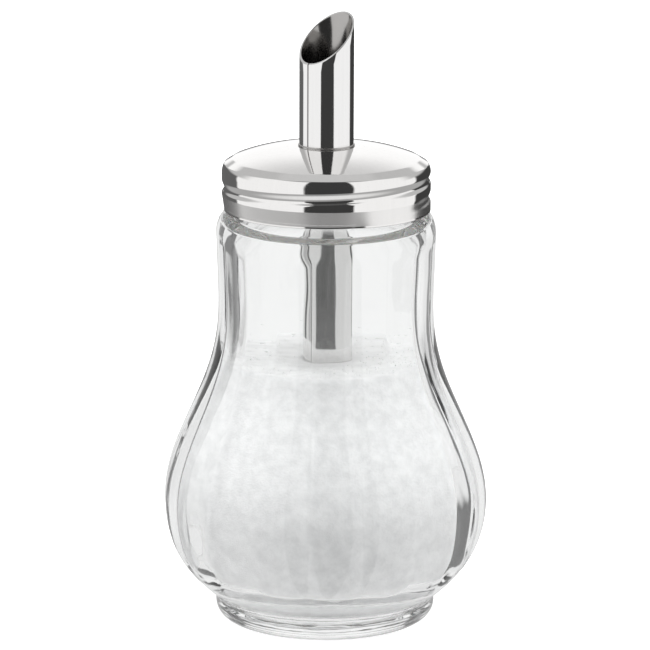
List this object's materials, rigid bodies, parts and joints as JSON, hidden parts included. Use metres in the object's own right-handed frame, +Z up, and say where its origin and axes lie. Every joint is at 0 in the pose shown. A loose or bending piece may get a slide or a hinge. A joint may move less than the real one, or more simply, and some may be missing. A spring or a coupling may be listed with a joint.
{
  "type": "glass sugar dispenser with pouring tube",
  "caption": "Pear-shaped ribbed glass jar of sugar with a screw-on steel cap and a slant-cut steel tube that pours one spoonful at a time.",
  "frame": {"origin": "centre of the plane that the jar stands on", "axes": "+Z up along the jar's axis, -Y towards the side on which the tube's slanted mouth opens"},
  "size_m": [0.08, 0.0798, 0.1504],
  "materials": {
    "clear_glass": "clear pressed glass, slightly wavy",
    "sugar": "fine white granules",
    "cap_steel": "polished stainless steel sheet with a satin lower band",
    "liner_plastic": "soft white plastic",
    "tube_steel": "polished stainless steel tube with fine lengthwise draw lines"
  },
  "bodies": {
    "jar": {"glass_jar": "clear_glass", "sugar_fill": "sugar"},
    "liner": {"cap_liner": "liner_plastic"},
    "cap": {"screw_cap": "cap_steel", "pouring_tube": "tube_steel", "tube_ring": "tube_steel"}
  },
  "joints": [
    {"name": "cap_rise", "type": "slide", "parent": "jar", "child": "liner", "axis": [0, 0, 1], "range_m": [0, 0.00451]},
    {"name": "cap_turn", "type": "hinge", "parent": "liner", "child": "cap", "pos_m": [0, 0, 0.11], "axis": [0, 0, 1], "range_deg": [0, 360]}
  ],
  "couplings": [
    {"joint": "cap_rise", "follows": "cap_turn", "m_per_rad": 0.0007162}
  ]
}
